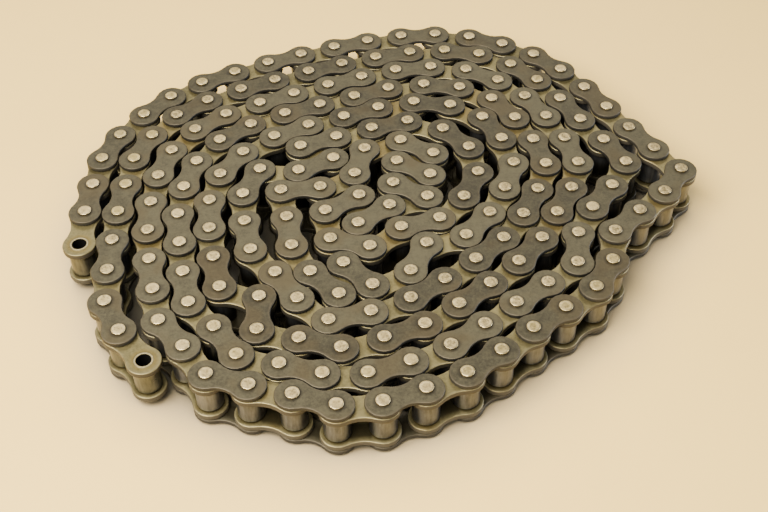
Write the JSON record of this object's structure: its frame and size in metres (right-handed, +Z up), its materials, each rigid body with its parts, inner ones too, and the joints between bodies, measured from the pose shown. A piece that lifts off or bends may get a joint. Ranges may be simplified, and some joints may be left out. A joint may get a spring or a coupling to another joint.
{
  "type": "roller chain",
  "caption": "Heavy roller chain folded in its middle and laid flat on its side as a tight oval coil, pins upright, with bare roller links at its free ends.",
  "frame": {"origin": "middle of the footprint, on the surface that the lower pin ends stand on", "axes": "+Z up along the pins, +X towards the coil's pointed corner, -Y towards the camera's side"},
  "size_m": [0.404, 0.3608, 0.0361],
  "materials": {
    "roller_link_plates": "oiled heat-treated steel with a tan sheen",
    "pin_link_plates": "oiled dark heat-treated steel with bright worn rims",
    "bushings": "ground steel",
    "rollers": "smooth hardened steel, grey-brown",
    "pins": "bright ground pin ends",
    "inner_runs": "oiled heat-treated steel",
    "outer_runs": "oiled heat-treated steel"
  },
  "bodies": {
    "coil": {"first_end_upper_outer_plate": "pin_link_plates", "first_end_lower_outer_plate": "pin_link_plates", "first_end_held_pin": "pins", "first_end_far_pin": "pins", "second_end_upper_outer_plate": "pin_link_plates", "second_end_lower_outer_plate": "pin_link_plates", "second_end_held_pin": "pins", "second_end_far_pin": "pins", "outer_run_1": "outer_runs", "outer_run_2": "outer_runs", "outer_run_3": "outer_runs", "outer_run_4": "outer_runs", "outer_run_5": "outer_runs", "outer_run_6": "outer_runs", "outer_run_7": "outer_runs", "inner_run_1": "inner_runs", "inner_run_2": "inner_runs", "inner_run_3": "inner_runs", "inner_run_4": "inner_runs", "inner_run_5": "inner_runs", "inner_run_6": "inner_runs", "inner_run_7": "inner_runs", "inner_run_8": "inner_runs", "inner_run_9": "inner_runs", "inner_run_10": "inner_runs", "inner_run_11": "inner_runs", "inner_run_12": "inner_runs", "inner_run_13": "inner_runs", "inner_run_14": "inner_runs", "inner_run_15": "inner_runs", "inner_run_16": "inner_runs", "inner_run_17": "inner_runs", "inner_run_18": "inner_runs", "inner_run_19": "inner_runs", "inner_run_20": "inner_runs", "inner_run_21": "inner_runs", "inner_run_22": "inner_runs", "inner_run_23": "inner_runs", "inner_run_24": "inner_runs", "closing_run": "outer_runs"},
    "first_end_link": {"first_end_upper_inner_plate": "roller_link_plates", "first_end_lower_inner_plate": "roller_link_plates", "first_end_free_bushing": "bushings", "first_end_held_bushing": "bushings", "first_end_free_roller": "rollers", "first_end_held_roller": "rollers"},
    "second_end_link": {"second_end_upper_inner_plate": "roller_link_plates", "second_end_lower_inner_plate": "roller_link_plates", "second_end_free_bushing": "bushings", "second_end_held_bushing": "bushings", "second_end_free_roller": "rollers", "second_end_held_roller": "rollers"}
  },
  "joints": [
    {"name": "first_end_pivot", "type": "hinge", "parent": "coil", "child": "first_end_link", "pos_m": [-0.1916, -0.01565, 0.01805], "axis": [0, 0, -1], "range_deg": [0, 100]},
    {"name": "second_end_pivot", "type": "hinge", "parent": "coil", "child": "second_end_link", "pos_m": [-0.15575, -0.11489, 0.01805], "axis": [0, 0, -1], "range_deg": [0, 100]}
  ]
}
